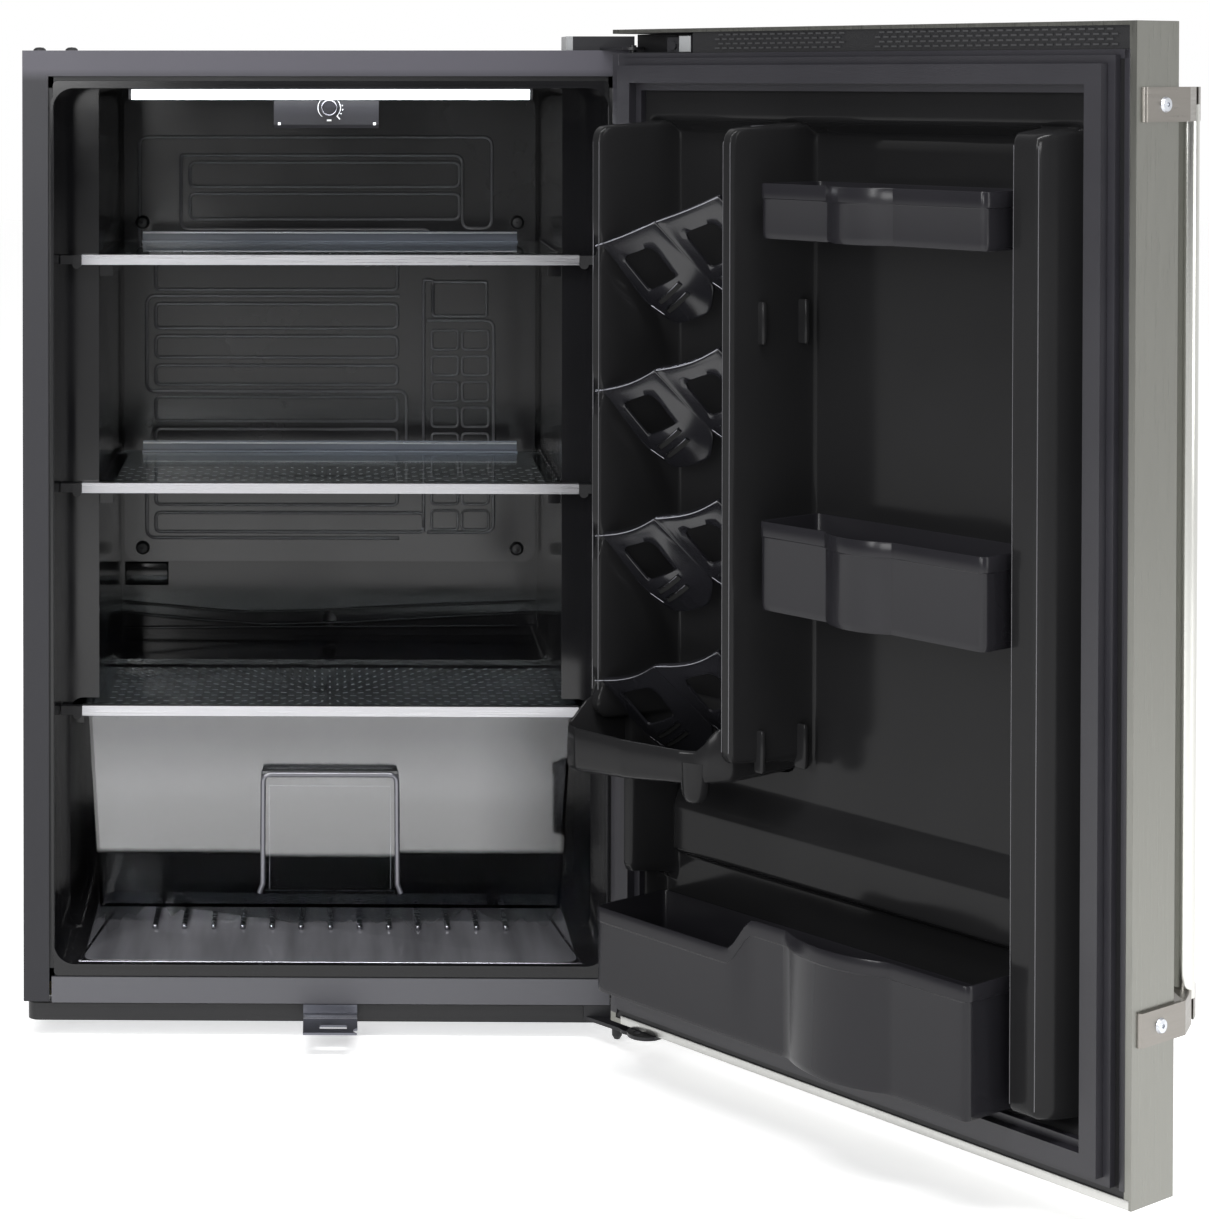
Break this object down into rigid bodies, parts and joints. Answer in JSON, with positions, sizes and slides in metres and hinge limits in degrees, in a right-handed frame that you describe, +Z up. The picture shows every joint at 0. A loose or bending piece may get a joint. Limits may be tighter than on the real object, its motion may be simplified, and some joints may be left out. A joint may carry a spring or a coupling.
{
  "type": "compact refrigerator",
  "caption": "Compact single-door refrigerator with an open right-hinged stainless door, door bins, can racks, two glass shelves and a crisper drawer.",
  "frame": {"origin": "on the floor, at the centre of the cabinet's width and depth without the door", "axes": "+Z up, the door side faces -Y, +X to the right when facing the door"},
  "size_m": [0.8889, 0.9162, 0.862],
  "materials": {
    "bar_metal": "satin",
    "black_plastic": "satin",
    "bright_trim": "satin",
    "cabinet_paint": "satin",
    "clear_plastic": "gloss",
    "compressor_black": "satin",
    "copper": "satin",
    "dark_steel": "satin",
    "evaporator_black": "satin",
    "galvanised": "satin",
    "gasket_grey": "satin",
    "grey_plastic": "satin",
    "grommet_rubber": "matte",
    "insulation": "matte",
    "lens": "satin",
    "liner_black": "gloss",
    "sensor_steel": "satin",
    "shelf_glass": "gloss",
    "smoke_trim": "satin",
    "stainless": "satin",
    "tube_plastic": "satin",
    "zinc_steel": "satin"
  },
  "bodies": {
    "cabinet": {"side_wrap": "cabinet_paint", "front_rail": "cabinet_paint", "base_strip": "black_plastic", "base_pan": "galvanised", "back_panel": "cabinet_paint", "foam_cabinet": "insulation", "condenser_coil": "copper", "liner": "liner_black", "evaporator": "evaporator_black", "evaporator_screws": "black_plastic", "sensor_clip": "black_plastic", "light_housing": "black_plastic", "light_lens": "lens", "thermostat_housing": "black_plastic", "thermostat_body": "sensor_steel", "compressor": "compressor_black", "compressor_grommets": "grommet_rubber", "compressor_plate": "galvanised", "terminal_cover": "black_plastic", "filter_drier": "copper", "drain_tube": "tube_plastic", "drip_tray": "black_plastic", "cord_gland": "black_plastic", "feet": "grommet_rubber", "top_plugs": "black_plastic", "strike_plate": "zinc_steel", "top_hinge": "dark_steel", "top_hinge_cap": "grey_plastic", "hinge_screws": "zinc_steel", "bottom_hinge": "dark_steel"},
    "thermostat_dial": {"thermostat_knob": "black_plastic"},
    "shelf_upper": {"shelf_1_glass": "shelf_glass", "shelf_1_trim": "bright_trim", "shelf_1_caps": "black_plastic", "shelf_1_lip": "smoke_trim"},
    "shelf_lower": {"shelf_2_glass": "shelf_glass", "shelf_2_trim": "bright_trim", "shelf_2_caps": "black_plastic", "shelf_2_lip": "smoke_trim"},
    "crisper_cover": {"cover_glass": "shelf_glass", "cover_trim": "bright_trim", "cover_caps": "black_plastic"},
    "crisper": {"crisper_drawer": "clear_plastic"},
    "door": {"door_skin": "stainless", "door_cap_top": "black_plastic", "door_cap_bottom": "black_plastic", "door_foam": "insulation", "door_liner": "liner_black", "gasket": "gasket_grey", "door_hinge_leaf": "grey_plastic", "door_stop": "dark_steel", "can_racks": "liner_black", "handle_bar": "bar_metal", "handle_brackets": "bar_metal", "handle_screws": "zinc_steel"},
    "bin_upper": {"bin_top": "liner_black"},
    "bin_centre": {"bin_middle": "liner_black"},
    "bin_lower": {"bin_bottom": "liner_black"},
    "lock_cylinder": {"lock_barrel": "zinc_steel"},
    "lock_pin": {"lock_bolt": "zinc_steel"}
  },
  "joints": [
    {"name": "door_hinge", "type": "hinge", "parent": "cabinet", "child": "door", "pos_m": [0.2535, -0.2648, 0.4], "axis": [0, 0, 1], "range_deg": [-128.2, 9.8]},
    {"name": "crisper_slide", "type": "slide", "parent": "cabinet", "child": "crisper", "axis": [0, -1, 0], "range_m": [0, 0.23]},
    {"name": "shelf_upper_slide", "type": "slide", "parent": "cabinet", "child": "shelf_upper", "axis": [0, -1, 0], "range_m": [0, 0.09]},
    {"name": "shelf_lower_slide", "type": "slide", "parent": "cabinet", "child": "shelf_lower", "axis": [0, -1, 0], "range_m": [0, 0.09]},
    {"name": "crisper_cover_slide", "type": "slide", "parent": "cabinet", "child": "crisper_cover", "axis": [0, -1, 0], "range_m": [0, 0.09]},
    {"name": "thermostat_turn", "type": "hinge", "parent": "cabinet", "child": "thermostat_dial", "pos_m": [-0.001, -0.19, 0.7957], "axis": [0, -1, 0], "range_deg": [0, 210]},
    {"name": "bin_upper_lift", "type": "slide", "parent": "door", "child": "bin_upper", "axis": [0, 0, 1], "range_m": [0, 0.03]},
    {"name": "bin_centre_lift", "type": "slide", "parent": "door", "child": "bin_centre", "axis": [0, 0, 1], "range_m": [0, 0.03]},
    {"name": "bin_lower_lift", "type": "slide", "parent": "door", "child": "bin_lower", "axis": [0, 0, 1], "range_m": [0, 0.011]},
    {"name": "lock_turn", "type": "hinge", "parent": "door", "child": "lock_cylinder", "pos_m": [0.4279, -0.44696, 0.052], "axis": [-0.7859, -0.6184, 0], "range_deg": [0, 90]},
    {"name": "bolt_drop", "type": "slide", "parent": "door", "child": "lock_pin", "axis": [0, 0, -1], "range_m": [0, 0.0142]}
  ],
  "couplings": [
    {"joint": "bolt_drop", "follows": "lock_turn", "m_per_rad": 0.009}
  ]
}
